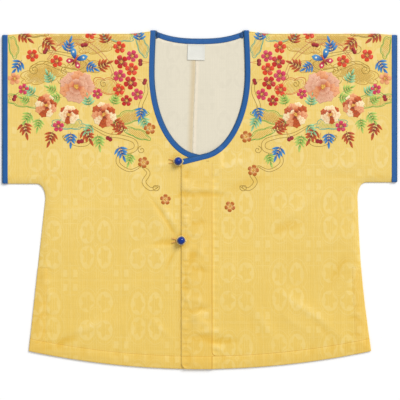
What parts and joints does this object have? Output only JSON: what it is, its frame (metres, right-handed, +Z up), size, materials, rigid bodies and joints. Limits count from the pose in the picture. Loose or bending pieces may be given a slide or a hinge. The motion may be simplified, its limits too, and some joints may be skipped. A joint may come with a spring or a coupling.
{
  "type": "hanfu dance costume top laid flat",
  "caption": "Short-sleeved front-overlap hanfu top, laid flat and buttoned: deep round neck, blue bindings, cream back lining and side vents.",
  "frame": {"origin": "middle of the garment's outline, on the surface that it lies on", "axes": "+X towards the wearer's left cuff, +Y from the hem towards the neck, +Z up from the surface"},
  "size_m": [0.68, 0.583, 0.0189],
  "materials": {
    "yellow_damask": "softly lustrous silk damask",
    "cream_lining": "matte fine lining",
    "blue_binding": "satin bias binding",
    "label": "matte woven tape",
    "glass_button": "glossy glass ball",
    "gold_cord": "twisted silk cord",
    "embroidery": "satin stitch embroidery in many colours"
  },
  "bodies": {
    "root": {"right_half": "yellow_damask", "left_half": "yellow_damask", "right_back_lining": "cream_lining", "left_back_lining": "cream_lining", "right_neck_binding": "blue_binding", "left_neck_binding": "blue_binding", "back_neck_binding": "blue_binding", "right_cuff_binding": "blue_binding", "left_cuff_binding": "blue_binding", "neck_label": "label", "top_button": "glass_button", "top_button_cord": "gold_cord", "top_button_loop": "gold_cord", "lower_button": "glass_button", "lower_button_cord": "gold_cord", "lower_button_loop": "gold_cord"}
  },
  "joints": []
}
